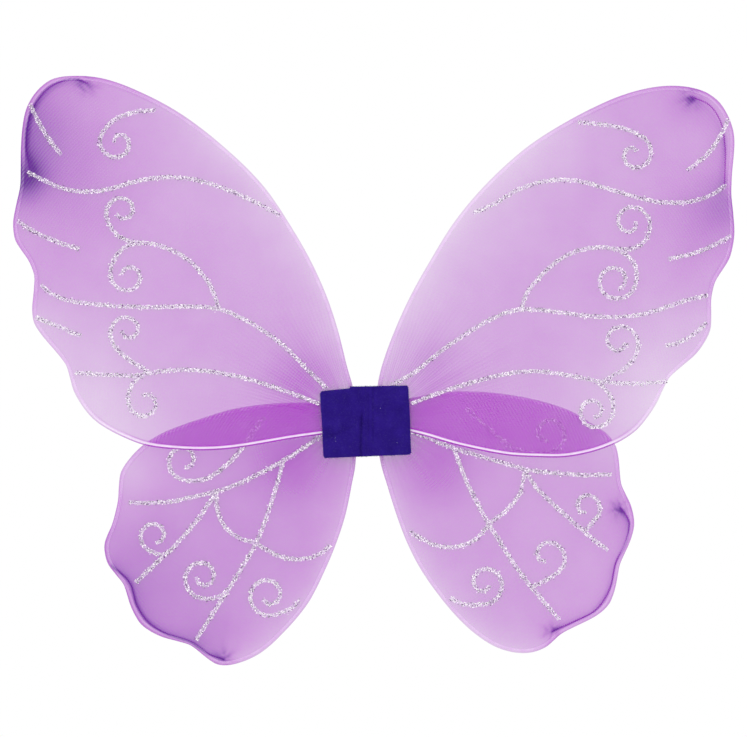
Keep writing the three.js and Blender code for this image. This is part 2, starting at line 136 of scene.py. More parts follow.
# Lines along a wing's rim, (change, distance from the edge, width) in millimetres: where a
# lower wing is behind an upper one, and along an upper wing's lower edge
RIM_LINES_BEHIND = [(0.12, 1.6, 1.2), (-0.3, 0, 0.8)]
# Along an upper wing's lower edge: thinner over the wire, a painted highlight on it, and denser
# on either side, painted shade with the nylon seen edge-on
RIM_LINES_LOW_EDGE = [(-0.62, 1.5, 0.46), (0.24, 2.7, 0.5), (0.3, 0.3, 0.45)]

# Knots where the stocking toe was pulled tight: x, z, reach in millimetres
KNOTS = {
    "upper_left": [(-185.5, 224.5, 7)],
    "upper_right": [(216, 215.5, 7)],
    "lower_left": [(-94, -158.5, 7)],
    "lower_right": [(124, -140.5, 6), (168.5, -57.5, 6)],
}

CORNER = 1.5 * MM
FELT_ROUNDING = 0.55 * MM
CREASE_DEPTH = 0.35 * MM
EDGE_WOBBLE = 0.12 * MM
FELT_GRID = 44, 40
FIBRES = 1500
EDGE_FIBRE_SHARE = 0.45
FELT_SPECKS = [(9.5, 9.0), (-20.4, -10.6), (-20.2, -13.0), (20.5, -13.9)]

FLOOR_RADIUS = 1.2
FLOOR_HEIGHT = -0.5

STRAP_WIDTH = 7 * MM
STRAP_THICKNESS = 1 * MM
STRAP_X = 6.2 * MM
STRAP_RUN = [
    (-2, 7), (-2, 14), (-1.2, 17), (1.2, 18.8), (12, 19.8), (50, 20.6), (82, 18.8),
    (97, 11), (101, -1), (97, -12), (82, -19.6), (50, -21.4), (12, -20.8), (1.2, -20),
    (-1.2, -18.2), (-2, -15.2), (-2, -8),
]


# ---------------------------------------------------------------- materials


class Nodes:
    """A material with a Principled shader, and short calls for its procedural nodes."""

    def __init__(self, name, colour, roughness=0.6, **sockets):
        self.material = bpy.data.materials.new(name)
        self.material.use_nodes = True
        self.tree = self.material.node_tree
        self.shader = self.tree.nodes["Principled BSDF"]
        self.shader.inputs["Base Color"].default_value = (*colour, 1)
        self.shader.inputs["Roughness"].default_value = roughness
        for socket, value in sockets.items():
            self.shader.inputs[socket.replace("_", " ")].default_value = value
        self.place = self.tree.nodes.new("ShaderNodeTexCoord").outputs["Object"]

    def link(self, source, target):
        self.tree.links.new(source, target)

    def mapped(self, scale=(1, 1, 1), rotation=(0, 0, 0)):
        node = self.tree.nodes.new("ShaderNodeMapping")
        node.inputs["Scale"].default_value = scale
        node.inputs["Rotation"].default_value = rotation
        self.link(self.place, node.inputs["Vector"])
        return node.outputs["Vector"]

    def noise(self, size, detail=2.0, vector=None, roughness=0.5):
        node = self.tree.nodes.new("ShaderNodeTexNoise")
        node.inputs["Scale"].default_value = 1 / size
        node.inputs["Detail"].default_value = detail
        node.inputs["Roughness"].default_value = roughness
        self.link(vector or self.place, node.inputs["Vector"])
        return node.outputs["Fac"]

    def wave(self, period, vector=None, distortion=0.0, bands="X"):
        node = self.tree.nodes.new("ShaderNodeTexWave")
        node.bands_direction = bands
        node.inputs["Scale"].default_value = math.pi / (10 * period)
        node.inputs["Distortion"].default_value = distortion
        node.inputs["Detail Scale"].default_value = 3.0
        self.link(vector or self.place, node.inputs["Vector"])
        return node.outputs["Fac"]

    def attribute(self, name):
        node = self.tree.nodes.new("ShaderNodeAttribute")
        node.attribute_name = name
        return node.outputs["Fac"]

    def maths(self, operation, first, second=None, third=None, clamp=False):
        node = self.tree.nodes.new("ShaderNodeMath")
        node.operation = operation
        node.use_clamp = clamp
        for socket, value in zip(node.inputs, (first, second, third)):
            if isinstance(value, (int, float)):
                socket.default_value = value
            elif value is not None:
                self.link(value, socket)
        return node.outputs["Value"]

    def combined(self, first, second):
        node = self.tree.nodes.new("ShaderNodeCombineXYZ")
        self.link(first, node.inputs["X"])
        self.link(second, node.inputs["Y"])
        return node.outputs["Vector"]

    def around(self, x, z):
        """Offsets in x and z from an upright line's foot, and the distance to it."""
        node = self.tree.nodes.new("ShaderNodeSeparateXYZ")
        self.link(self.place, node.inputs["Vector"])
        across = self.maths("SUBTRACT", node.outputs["X"], x)
        up = self.maths("SUBTRACT", node.outputs["Z"], z)
        squares = self.maths("MULTIPLY_ADD", across, across, self.maths("MULTIPLY", up, up))
        return across, up, self.maths("SQRT", squares)

    def sine(self, distance, pitch, sway):
        turned = self.maths("MULTIPLY_ADD", distance, 2 * math.pi / pitch, sway)
        return self.maths("SINE", turned)

    def ramp(self, factor, stops):
        node = self.tree.nodes.new("ShaderNodeValToRGB")
        ramp = node.color_ramp
        while len(ramp.elements) < len(stops):
            ramp.elements.new(0.5)
        for element, (position, colour) in zip(ramp.elements, stops):
            element.position = position
            element.color = (*colour, 1)
        self.link(factor, node.inputs["Fac"])
        return node.outputs["Color"]

    def colour(self, source):
        self.link(source, self.shader.inputs["Base Color"])

    def roughness(self, source):
        self.link(source, self.shader.inputs["Roughness"])

    def bump(self, height, distance, strength=1.0):
        node = self.tree.nodes.new("ShaderNodeBump")
        node.inputs["Distance"].default_value = distance
        node.inputs["Strength"].default_value = strength
        self.link(height, node.inputs["Height"])
        self.link(node.outputs["Normal"], self.shader.inputs["Normal"])


def knit(m, facts, mean):
    """The knit's ribs: wales that fan out from the gathered root, courses that run round it,
    rows drawn askew behind the upper wing, and streaks where the nylon bunches up."""
    across, up, reach = m.around(facts["side"] * HINGE_X, 0.0)
    turn = m.maths("ARCTAN2", up, m.maths("ABSOLUTE", across))
    sway = m.maths("MULTIPLY", m.noise(14 * MM, 2.0), 5.0)
    uneven = m.maths("MULTIPLY", m.noise(1.7 * MM, 2.0), 2.0)
    wales = m.sine(turn, 2 * math.pi / WALES, sway)
    courses = m.maths("MULTIPLY", m.sine(reach, COURSE_PITCH, sway), uneven)
    gather = m.attribute("gather")
    ribs = m.maths("MULTIPLY", wales, m.maths("MULTIPLY", gather, WALES_SHOWN))
    dense = m.maths("SUBTRACT", mean, 0.38, clamp=True)
    strength = m.maths("MULTIPLY_ADD", dense, facts["courses"], LEAST_COURSES)
    ribs = m.maths("MULTIPLY_ADD", courses, strength, ribs)
    if not facts["upper"]:
        x, z, share = facts["drawn"]
        _, _, bend = m.around(x * MM, z * MM)
        rows = m.maths("MULTIPLY", m.sine(bend, DRAWN_PITCH, sway), uneven)
        strength = m.maths("MULTIPLY", m.attribute("under"), share)
        ribs = m.maths("MULTIPLY_ADD", rows, strength, ribs)
    lines = m.combined(m.maths("MULTIPLY", turn, 24.0), m.maths("MULTIPLY", reach, 22.0))
    streaks = m.maths("MULTIPLY_ADD", m.noise(1.0, 2.0, lines), 2.0, -1.0)
    return m.maths("MULTIPLY_ADD", streaks, m.maths("MULTIPLY", gather, STREAKS_SHOWN), ribs)


def nylon(name, facts):
    """Sheer knit: the mesh's own veil sets how much it covers, and its ribs break that up."""
    m = Nodes(f"nylon_{name}", (0.45, 0.012, 0.6), 0.55)
    m.shader.inputs["Sheen Weight"].default_value = 0.03
    m.shader.inputs["Sheen Roughness"].default_value = 0.4
    m.shader.inputs["Specular IOR Level"].default_value = 0.12
    mean = m.attribute("veil")
    ribs = knit(m, facts, mean)
    loops = m.noise(0.5 * MM, 1.0)
    clouds = m.noise(26 * MM, 3.0)
    veil = m.maths("MULTIPLY_ADD", ribs, mean, mean)
    veil = m.maths("MULTIPLY_ADD", m.maths("SUBTRACT", loops, 0.5), 0.06, veil)
    veil = m.maths("MULTIPLY_ADD", m.maths("SUBTRACT", clouds, 0.5), 0.08, veil, clamp=True)
    m.link(veil, m.shader.inputs["Alpha"])
    # dark: denser nylon along the ribs, at the tips, seams and bunched root, and painted shade on
    # a lower wing behind its upper wing
    dark = m.maths("MULTIPLY_ADD", m.maths("ABSOLUTE", ribs), 0.5, m.attribute("dark"))
    m.colour(m.ramp(dark, [
        (0.0, (0.41, 0.004, 0.545)), (0.3, (0.35, 0.002, 0.5)), (0.65, (0.23, 0.003, 0.41)),
        (1.0, (0.12, 0.006, 0.28)),
    ]))
    m.bump(m.maths("MULTIPLY_ADD", ribs, 0.6, loops), 0.08 * MM, 0.5)
    return m.material


def wire_coating():
    m = Nodes("wire_coating", (0.86, 0.8, 0.92), 0.35)
    worn = m.noise(6 * MM, 4.0)
    m.colour(m.ramp(worn, [(0.35, (0.9, 0.74, 0.95)), (0.65, (0.96, 0.84, 1.0))]))
    m.roughness(m.ramp(m.noise(1.5 * MM, 3.0), [(0.3, (0.28,) * 3), (0.7, (0.45,) * 3)]))
    m.bump(m.noise(0.8 * MM, 2.0), 0.03 * MM, 0.4)
    return m.material


def felt():
    """Pressed fibres: fine matted grain, slight upright drag marks and a velvety edge, with
    painted shade that darkens the colour along the creases.
    """
    m = Nodes("felt", (0.022, 0.0075, 0.185), 0.95)
    m.shader.inputs["Sheen Weight"].default_value = 0.1
    m.shader.inputs["Sheen Roughness"].default_value = 0.55
    m.shader.inputs["Sheen Tint"].default_value = (0.25, 0.15, 0.9, 1)
    m.shader.inputs["Specular IOR Level"].default_value = 0.04
    fibres = m.noise(0.45 * MM, 4.0, m.mapped(scale=(1, 1, 0.45)), 0.7)
    grain = m.noise(0.16 * MM, 2.0)
    patches = m.noise(7 * MM, 3.0)
    crease = m.attribute("crease")
    tone = m.maths("MULTIPLY_ADD", fibres, 0.55, m.maths("MULTIPLY", patches, 0.45))
    # painted shade: the colour darkens along the creases
    tone = m.maths("MULTIPLY_ADD", crease, -0.45, tone)
    m.colour(m.ramp(tone, [
        (0.1, (0.008, 0.002, 0.085)), (0.42, (0.019, 0.006, 0.165)),
        (0.58, (0.025, 0.009, 0.205)), (0.8, (0.045, 0.02, 0.29)),
    ]))
    m.bump(m.maths("MULTIPLY_ADD", fibres, 0.7, m.maths("MULTIPLY", grain, 0.3)), 0.22 * MM)
    return m.material


def board():
    m = Nodes("grey_board", (0.48, 0.4, 0.27), 0.85)
    fibre = m.noise(1.2 * MM, 5.0, m.mapped(scale=(1, 1, 0.3)))
    m.colour(m.ramp(fibre, [(0.3, (0.36, 0.29, 0.19)), (0.7, (0.56, 0.48, 0.34))]))
    m.bump(fibre, 0.1 * MM, 0.5)
    return m.material


def thread(name, dark, light):
    """Plied thread: slanting ribs of the twist."""
    m = Nodes(name, light, 0.65)
    ply = m.wave(0.35 * MM, m.mapped(rotation=(0.5, 0.6, 0.2)), distortion=1.5)
    m.colour(m.ramp(ply, [(0.15, dark), (0.6, light)]))
    m.bump(ply, 0.12 * MM, 0.8)
    return m.material


def elastic():
    """Woven elastic: rubber cords along the band, bound by a fine weft."""
    m = Nodes("woven_elastic", (0.86, 0.84, 0.88), 0.75)
    m.shader.inputs["Sheen Weight"].default_value = 0.15
    cords = m.wave(0.78 * MM, bands="X")
    weft = m.noise(0.3 * MM, 2.0, m.mapped(scale=(0.35, 1, 1)))
    soil = m.noise(14 * MM, 3.0)
    tone = m.maths("MULTIPLY_ADD", weft, 0.35, m.maths("MULTIPLY", cords, 0.4))
    tone = m.maths("MULTIPLY_ADD", soil, 0.25, tone)
    m.colour(m.ramp(tone, [(0.1, (0.62, 0.6, 0.66)), (0.6, (0.87, 0.85, 0.89))]))
    m.bump(m.maths("MULTIPLY_ADD", cords, 0.7, weft), 0.18 * MM, 0.8)
    return m.material


def glue():
    """Dried glitter glue: a milky, lilac-tinted bead that lets the nylon through."""
    m = Nodes("glitter_glue", (0.8, 0.68, 0.9), 0.3, Alpha=0.3)
    m.shader.inputs["Specular IOR Level"].default_value = 0.6
    grit = m.noise(0.55 * MM, 2.0)
    m.colour(m.ramp(grit, [(0.34, (0.4, 0.3, 0.5)), (0.5, (0.95, 0.9, 0.98))]))
    m.bump(grit, 0.25 * MM, 0.7)
    return m.material


def flake(name, colour, roughness, metallic=1.0):
    return Nodes(name, colour, roughness, Metallic=metallic).material


def floor_paint():
    m = Nodes("pale_floor", (0.9, 0.9, 0.9), 0.85)
    m.colour(m.ramp(m.noise(0.25, 3.0), [(0.3, (0.88,) * 3), (0.7, (0.92,) * 3)]))
    return m.material


MATERIALS = {
    "wire": wire_coating(),
    "felt": felt(),
    "fibre": thread("felt_fibre", (0.012, 0.004, 0.11), (0.035, 0.014, 0.26)),
    "board": board(),
    "lashing": thread("lashing_thread", (0.5, 0.46, 0.58), (0.78, 0.75, 0.84)),
    "seam": thread("seam_thread", (0.22, 0.14, 0.34), (0.35, 0.25, 0.47)),
    "tack": thread("tack_thread", (0.03, 0.012, 0.14), (0.09, 0.04, 0.3)),
    "lint": Nodes("lint", (0.8, 0.8, 0.85), 0.8).material,
    "elastic": elastic(),
    "glue": glue(),
}
# Silver flakes in lit and shaded copies: the grey and dark metallic ones are painted shade, the
# matte white one a painted glint that is bright from any tilt; the bright metallic one is the
# silver itself
FLAKES = [
    flake("flake_bright", (0.99, 0.92, 1.0), 0.25),
    flake("flake_white_painted_glint", (1.0, 0.96, 1.0), 0.5, 0.0),
    flake("flake_grey_painted_shade", (0.45, 0.36, 0.5), 0.3),
    flake("flake_dark_painted_shade", (0.18, 0.1, 0.22), 0.35),
    flake("flake_lilac", (0.78, 0.62, 0.88), 0.3),
]
FLAKE_SHARES = [0.26, 0.28, 0.15, 0.2, 0.11]
FLAKES_PER_SQUARE_MM = 2.3
FLAKE_RADII = 0.27 * MM, 0.48 * MM
UPPER_SCATTER = 0.14 * MM
LOWER_SCATTER = 0.24 * MM
BEAD_DEPTH = 1.85 * MM


# ---------------------------------------------------------------- helpers


def new_object(name, vertices, faces, materials, smooth=True):
    mesh = bpy.data.meshes.new(name)
    mesh.from_pydata([tuple(v) for v in vertices], [], [tuple(f) for f in faces])
    mesh.validate()
    for material in materials:
        mesh.materials.append(material)
    mesh.polygons.foreach_set("use_smooth", [smooth] * len(mesh.polygons))
    obj = bpy.data.objects.new(name, mesh)
    bpy.context.scene.collection.objects.link(obj)
    return obj


def set_attribute(obj, name, values):
    attribute = obj.data.attributes.new(name, "FLOAT", "POINT")
    attribute.data.foreach_set("value", np.asarray(values, np.float32))


def drop_loose_points(obj):
    bm = bmesh.new()
    bm.from_mesh(obj.data)
    bmesh.ops.delete(bm, geom=[v for v in bm.verts if not v.link_faces], context="VERTS")
    bm.to_mesh(obj.data)
    bm.free()


def face_outward(obj):
    bm = bmesh.new()
    bm.from_mesh(obj.data)
    bmesh.ops.recalc_face_normals(bm, faces=bm.faces)
    bm.to_mesh(obj.data)
    bm.free()


def apply_modifiers(obj):
    """Replaces the object's mesh by what its modifiers make of it."""
    bpy.context.view_layer.update()
    evaluated = obj.evaluated_get(bpy.context.evaluated_depsgraph_get())
    mesh = bpy.data.meshes.new_from_object(evaluated)
    obj.modifiers.clear()
    obj.data = mesh


def front_triangles(node):
    """The triangles of a flat CAD node's front face, as corners in x and z, and its y."""
    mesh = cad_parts[node].data
    mesh.calc_loop_triangles()
    points = np.array([v.co for v in mesh.vertices])
    front = points[:, 1].min()
    found = []
    for triangle in mesh.loop_triangles:
        corners = points[list(triangle.vertices)]
        if np.abs(corners[:, 1] - front).max() < SAME_PLACE:
            found.append(corners[:, [0, 2]])
    return np.array(found), front


def front_outline(node):
    """The ordered outline of a flat CAD node's front face, in x and z."""
    triangles, _ = front_triangles(node)
    names, places, edges = {}, [], {}
    for triangle in triangles:
        keys = []
        for corner in triangle:
            key = tuple(np.round(corner, 6))
            if key not in names:
                names[key] = len(places)
                places.append(corner)
            keys.append(names[key])
        for start, end in zip(keys, keys[1:] + keys[:1]):
            if (end, start) in edges:
                del edges[(end, start)]
            else:
                edges[(start, end)] = True
    following = dict(edges.keys())
    start = next(iter(following))
    loop = [start]
    while following[loop[-1]] != start:
        loop.append(following[loop[-1]])
    return np.array([places[i] for i in loop])


def smooth_path(points, count):
    """Points at even distances along a smooth curve through the given ones."""
    points = np.asarray(points, float)
    padded = np.vstack([2 * points[0] - points[1], points, 2 * points[-1] - points[-2]])
    curve = []
    part = np.linspace(0, 1, 12, endpoint=False)[:, None]
    for a, b, c, d in zip(padded, padded[1:], padded[2:], padded[3:]):
        curve.append(0.5 * (
            2 * b + (c - a) * part + (2 * a - 5 * b + 4 * c - d) * part ** 2
            + (3 * b - a - 3 * c + d) * part ** 3
        ))
    curve = np.vstack(curve + [points[-1:]])
    lengths = np.r_[0, np.cumsum(np.linalg.norm(np.diff(curve, axis=0), axis=1))]
    wanted = np.linspace(0, lengths[-1], count)
    return np.stack([np.interp(wanted, lengths, axis) for axis in curve.T], axis=1)


def distance_to_path(points, path):
    """Each point's distance to a polyline, and how far along the polyline it is nearest."""
    best = np.full(len(points), 1e9)
    where = np.zeros(len(points))
    for index, (a, b) in enumerate(zip(path, path[1:])):
        along = b - a
        t = np.clip(((points - a) @ along) / max(along @ along, 1e-18), 0, 1)
        gap = np.linalg.norm(points - a - t[:, None] * along, axis=1)
        closer = gap < best
        best[closer] = gap[closer]
        where[closer] = (index + t[closer]) / (len(path) - 1)
    return best, where


def tube(name, path, radius, sides, material):
    """A round strand along points in space."""
    path = np.asarray(path, float)
    ahead = np.gradient(path, axis=0)
    ahead /= np.linalg.norm(ahead, axis=1)[:, None]
    across = np.cross(ahead, [0.0, 1.0, 0.0])
    thin = np.linalg.norm(across, axis=1) < 0.2
    across[thin] = np.cross(ahead[thin], [1.0, 0.0, 0.0])
    across /= np.linalg.norm(across, axis=1)[:, None]
    other = np.cross(ahead, across)
    vertices, faces = [], []
    for k, point in enumerate(path):
        for side in range(sides):
            angle = 2 * math.pi * side / sides
            vertices.append(
                point + radius * (math.cos(angle) * across[k] + math.sin(angle) * other[k]))
    for k in range(len(path) - 1):
        for side in range(sides):
            after = (side + 1) % sides
            faces.append((
                k * sides + side, k * sides + after,
                (k + 1) * sides + after, (k + 1) * sides + side,
            ))
    faces.append(tuple(range(sides - 1, -1, -1)))
    last = (len(path) - 1) * sides
    faces.append(tuple(range(last, last + sides)))
    return new_object(name, vertices, faces, [material])


# ---------------------------------------------------------------- wings


def wing_edge(name, facts):
    """The sleeve's edge from the leading root round the tip to the trailing root."""
    mouth_z, mouth_radius = UPPER_MOUTH if facts["upper"] else LOWER_MOUTH
    middle = np.array([facts["side"] * HINGE_X, mouth_z])
    loop = front_outline(f"sleeve_{name}")
    free = np.linalg.norm(loop - middle, axis=1) > mouth_radius + 0.35 * MM
    start = next(i for i in range(len(loop)) if free[i] and not free[i - 1])
    order = [(start + i) % len(loop) for i in range(len(loop))]
    edge = loop[[i for i in order if free[i]]]
    if edge[0][1] < edge[-1][1]:
        edge = edge[::-1]
    return smooth_path(edge, EDGE_COUNT), middle, mouth_radius


def seam_path(name):
    """The middle line of a toe seam, from its flat CAD strip."""
    loop = front_outline(f"toe_seam_{name}")
    lengths = np.linalg.norm(loop - np.roll(loop, -1, axis=0), axis=1)
    short = sorted(range(len(loop)), key=lambda i: abs(lengths[i] - SEAM_WIDTH))
    half = len(loop) // 2
    end = next(i for i in short if abs(lengths[(i + half) % len(loop)] - SEAM_WIDTH) < 2e-5)
    loop = np.roll(loop, -(end + 1), axis=0)
    return (loop[:half] + loop[::-1][:half]) / 2


def behind_upper(name, points):
    """How far each point of a lower wing is behind its upper wing: 0 clear of it, 1 behind."""
    upper = name.replace("lower", "upper")
    edge, _, _ = wing_edge(upper, WINGS[upper])
    trailing = edge[EDGE_COUNT * 3 // 4:]
    order = np.argsort(trailing[:, 0])
    line = np.interp(points[:, 0], trailing[order, 0], trailing[order, 1])
    return np.clip((points[:, 1] - line) / (2 * MM) + 0.5, 0, 1)


def bump_at(distance, centre, width):
    return np.exp(-((distance - centre * MM) / (width * MM)) ** 2)


def spot(points, x, z, radius):
    """1 at a place given in millimetres, fading out round it."""
    apart = np.linalg.norm(points / MM - (x, z), axis=1)
    return np.exp(-(apart / radius) ** 2)


def stretched_thin(facts, rim_distance, rim_part, spread):
    """How much less the nylon covers along the edge where it is stretched thinnest."""
    edge_name, fade, reach = facts["fade"]
    thin = np.clip((0.31 - rim_part) / 0.1 + 0.5, 0, 1)
    if edge_name == "trail":
        thin = np.clip((rim_part - 0.62) / 0.06 + 0.5, 0, 1)
    thin *= 1 - 0.75 * np.exp(-spread / (45 * MM))
    return fade * thin * np.exp(-rim_distance / (reach * MM))


def round_seam(name, points, rim, rim_distance):
    """What the toe seam changes: denser along the stitching and its knots, thinner past it."""
    stitching = seam_path(name)
    seam, seam_part = distance_to_path(points, stitching)
    margins, _ = distance_to_path(stitching, smooth_path(rim, 120))
    margin = np.interp(seam_part, np.linspace(0, 1, len(margins)), margins)
    outside = np.clip((margin - 0.3 * MM - rim_distance) / (0.7 * MM), 0, 1)
    change = -0.12 * outside * np.exp(-(seam / (5 * MM)) ** 2)
    change += 0.1 * bump_at(seam, 0, 1.2) + 0.1 * np.exp(-seam / (4 * MM))
    for x, z, reach in KNOTS[name]:
        offset = points / MM - (x, z)
        rays = 0.5 + 0.5 * np.cos(7 * np.arctan2(offset[:, 1], offset[:, 0]) + 1)
        change += (0.06 + 0.16 * rays) * spot(points, x, z, reach)
    return change


def with_rim(facts, cover, under, rim_distance, rim_part):
    """The cover with the rim worked in. It hides the wire, except along the lower edge of an
    upper wing, where it is made thin over the wire so that the wire shows bright, a painted
    highlight, between two denser lines that paint the shade along the wire and the nylon seen
    edge-on."""
    clear = 1 - under
    low_edge = np.clip(rim_part * 14 - 10.6, 0, 1) if facts["upper"] else 0
    cover = cover - clear * RIM_THINNING * np.exp(-rim_distance / RIM_REACH)
    dense = clear * np.clip((cover - 0.36) / 0.24, 0, 1)
    over_wire = dense * (1 - low_edge) * bump_at(rim_distance, 1.6, 1.1)
    cover += 0.72 * np.clip(cover * (1 - cover), 0, 1) * over_wire
    cover += dense * 0.14 * bump_at(rim_distance, 0, 0.45)
    for where, lines in ((under, RIM_LINES_BEHIND), (low_edge, RIM_LINES_LOW_EDGE)):
        for change, distance, width in lines:
            cover += where * change * bump_at(rim_distance, distance, width)
    return cover


def coverage(name, facts, points, rim, rim_distance, rim_part, spread, fold):
    """How much light two layers of the nylon stop at each point, how dark it looks, and how
    far it is behind the upper wing."""
    cover = np.full(len(points), facts["base"])
    for x, z, radius, change in facts["patches"]:
        cover += change * spot(points, x, z, radius)
    cover -= stretched_thin(facts, rim_distance, rim_part, spread)
    cover += round_seam(name, points, rim, rim_distance)
    dark = np.clip((cover - 0.66) / 0.3, 0, 1)
    x, z, radius, change = facts["root"]
    bunching = change * spot(points, x, z, radius)
    under = np.zeros(len(points)) if facts["upper"] else behind_upper(name, points)
    dark = np.clip(dark + 0.8 * bunching + 0.25 * np.exp(-spread / (9 * MM)), 0, 1)
    # painted shade: a lower wing's nylon is darkened where it lies behind its upper wing, which
    # shades it
    dark = np.clip(dark + 0.3 * under, 0, 1)
    cover += bunching * (1 - 0.6 * under)
    cover += facts["pleats"] * fold * np.exp(-spread / (16 * MM))
    cover += 0.08 * np.exp(-spread / (18 * MM)) - 0.1 * under * np.exp(-spread / (30 * MM))
    cover = with_rim(facts, cover, under, rim_distance, rim_part)
    return np.clip(cover, 0.06, 0.97), dark, under


def gathered(columns, edge, middle, mouth_radius, tie_radius):
    """Carries each column on from the bag's mouth to where it is drawn together and tied."""
    away = edge - middle
    turn = np.unwrap(np.arctan2(away[:, 1], away[:, 0]))
    central = (turn[0] + turn[-1]) / 2
    longer = []
    for column, angle in zip(columns, turn):
        tail = []
        for step in range(1, GATHER_STEPS + 1):
            part = step / GATHER_STEPS
            radius = mouth_radius + (tie_radius - mouth_radius) * part
            closed = central + (angle - central) * (1 - GATHERS_CLOSE * part ** 1.3)
            tail.append(middle + radius * np.array([math.cos(closed), math.sin(closed)]))
        longer.append(np.vstack([column, tail]))
    return longer


def tie(name, edge, middle, plane, radius):
    """Thread wound three times round the gathered end of the nylon."""
    away = edge - middle
    turn = np.unwrap(np.arctan2(away[:, 1], away[:, 0]))
    central = (turn[0] + turn[-1]) / 2
    half_angle = abs(turn[0] - turn[-1]) / 2 * (1 - GATHERS_CLOSE)
    ahead = np.array([math.cos(central), math.sin(central)])
    wide = (radius + 0.6 * MM) * math.sin(half_angle) + 0.3 * MM
    path = []
    for angle in np.linspace(0, 6 * math.pi, 90):
        along = radius + 0.3 * MM + 0.12 * MM * angle
        flat = middle + ahead * along + np.array([-ahead[1], ahead[0]]) * wide * math.cos(angle)
        path.append((flat[0], plane + 1.0 * MM * math.sin(angle), flat[1]))
    obj = tube(f"nylon_tie_{name}", path, TIE_THREAD, 6, MATERIALS["lashing"])
    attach(obj, f"wing_{name}")


def sleeve_grid(edge, middle, mouth_radius, tie_radius):
    """Points in x and z all over a sleeve, in columns from its edge to its tied root."""
    reach = np.linalg.norm(edge - middle, axis=1)
    roots = middle + (edge - middle) * (mouth_radius / reach)[:, None]
    spans = np.maximum(reach - mouth_radius, 0.2 * MM)
    columns = []
    for start, root, span in zip(edge, roots, spans):
        near = np.array(RIM_STEPS) * MM * min(1.0, span / (9 * MM))
        far = np.linspace(near[-1], span, SPAN_COUNT + 1)[1:]
        gone = np.r_[near, far] / span
        columns.append(start + (root - start) * gone[:, None])
    return np.array(gathered(columns, edge, middle, mouth_radius, tie_radius))


def gathers(name, facts, edge, middle, rows):
    """How the gathers fold the nylon at each point of the grid, from -1 to 1."""
    rng = np.random.default_rng(11 + len(name) + (facts["side"] > 0))
    turn = np.unwrap(np.arctan2(*(edge - middle).T[::-1]))
    wander = np.interp(np.arange(EDGE_COUNT), np.linspace(0, EDGE_COUNT, 40),
                       rng.normal(0, 1.1, 40))
    phase = np.repeat(np.abs(turn - turn[0]) * 42 + wander, rows)
    return np.sin(phase) * 0.6 + np.sin(phase * 2.3 + 1.7) * 0.4


def layer_places(points, rim_distance, spread, bunched, fold):
    """Half the gap between the two layers, and how far both swing out of the wing's plane."""
    inside = np.maximum(rim_distance - BAG_RADIUS, 0)
    round_rim = np.sqrt(np.maximum(
        BAG_RADIUS ** 2 - np.maximum(BAG_RADIUS - rim_distance, 0) ** 2, 0))
    half = round_rim - (BAG_RADIUS - BAG_INNER) * (1 - np.exp(-inside / (14 * MM)))
    calm = np.clip(rim_distance / (6 * MM), 0, 1)
    pleat = 0.18 * fold * np.exp(-spread / (18 * MM)) * calm + 0.5 * fold * bunched
    ripple = 0.12 * np.sin(points[:, 0] / (17 * MM) + 2 * np.sin(points[:, 1] / 0.04)) * calm
    return half * (1 - 0.7 * bunched), (pleat + ripple) * MM


def sleeve_faces(rows, joined, outward):
    """The quads of both layers, which share the points where they are joined."""
    count = len(joined)
    back_index = np.where(joined, np.arange(count), np.arange(count) + count)
    faces = []
    for k in range(EDGE_COUNT - 1):
        for j in range(rows - 1):
            a, b = k * rows + j, k * rows + j + 1
            c, d = (k + 1) * rows + j + 1, (k + 1) * rows + j
            quad = (a, b, c, d) if outward else (d, c, b, a)
            faces.append(quad)
            faces.append(tuple(int(back_index[i]) for i in quad[::-1]))
    return faces


def nylon_sleeve(name, facts):
    """A bag of two nylon layers round the wire, gathered in fine pleats toward the root."""
    edge, middle, mouth_radius = wing_edge(name, facts)
    tie_radius = UPPER_TIE if facts["upper"] else LOWER_TIE
    low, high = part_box(f"sleeve_{name}")
    plane = (low[1] + high[1]) / 2
    grid = sleeve_grid(edge, middle, mouth_radius, tie_radius)
    rows = grid.shape[1]
    points = grid.reshape(-1, 2)
    rim_distance, rim_part = distance_to_path(points, edge)
    spread = np.linalg.norm(points - middle, axis=1) - mouth_radius
    bunched = np.clip(-spread / (mouth_radius - tie_radius), 0, 1)
    spread = np.maximum(spread, 0)
    fold = gathers(name, facts, edge, middle, rows)
    joined = np.zeros((EDGE_COUNT, rows), bool)
    joined[:, 0] = joined[:, -1] = joined[0] = joined[-1] = True
    joined = joined.ravel()
    half, swing = layer_places(points, rim_distance, spread, bunched, fold)
    half = np.where(joined, 0, half)
    front = np.stack([points[:, 0], plane - half + swing, points[:, 1]], axis=1)
    back = np.stack([points[:, 0], plane + half + swing, points[:, 1]], axis=1)
    obj = new_object(f"nylon_{name}", np.vstack([front, back]),
                     sleeve_faces(rows, joined, facts["side"] > 0), [nylon(name, facts)])
    cover, dark, under = coverage(
        name, facts, points, edge, rim_distance, rim_part, spread, fold)
    gather = np.exp(-(spread / (42 * MM)) ** 1.5)
    if not facts["upper"]:
        gather *= 0.12 + 0.88 * under
    set_attribute(obj, "veil", np.tile(1 - np.sqrt(1 - cover), 2))
    set_attribute(obj, "dark", np.tile(dark, 2))
    set_attribute(obj, "under", np.tile(under, 2))
    set_attribute(obj, "gather", np.tile(gather, 2))
    drop_loose_points(obj)
    obj.visible_diffuse = False
    tie(name, edge, middle, plane, tie_radius)
    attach(obj, f"wing_{name}")
    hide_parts(f"sleeve_{name}")


def smooth_wire(name):
    """The CAD wire, rounded, in its coating."""
    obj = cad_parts[f"wire_{name}"]
    weld = obj.modifiers.new("weld", "WELD")
    weld.merge_threshold = SAME_PLACE
    rounding = obj.modifiers.new("round", "SUBSURF")
    rounding.levels = rounding.render_levels = 1
    paint(obj, MATERIALS["wire"])


def paint(obj, material):
    """Gives a CAD node its material, on the object, so that its mesh stays as it is."""
    for slot in obj.material_slots:
        slot.link = "OBJECT"
        slot.material = material


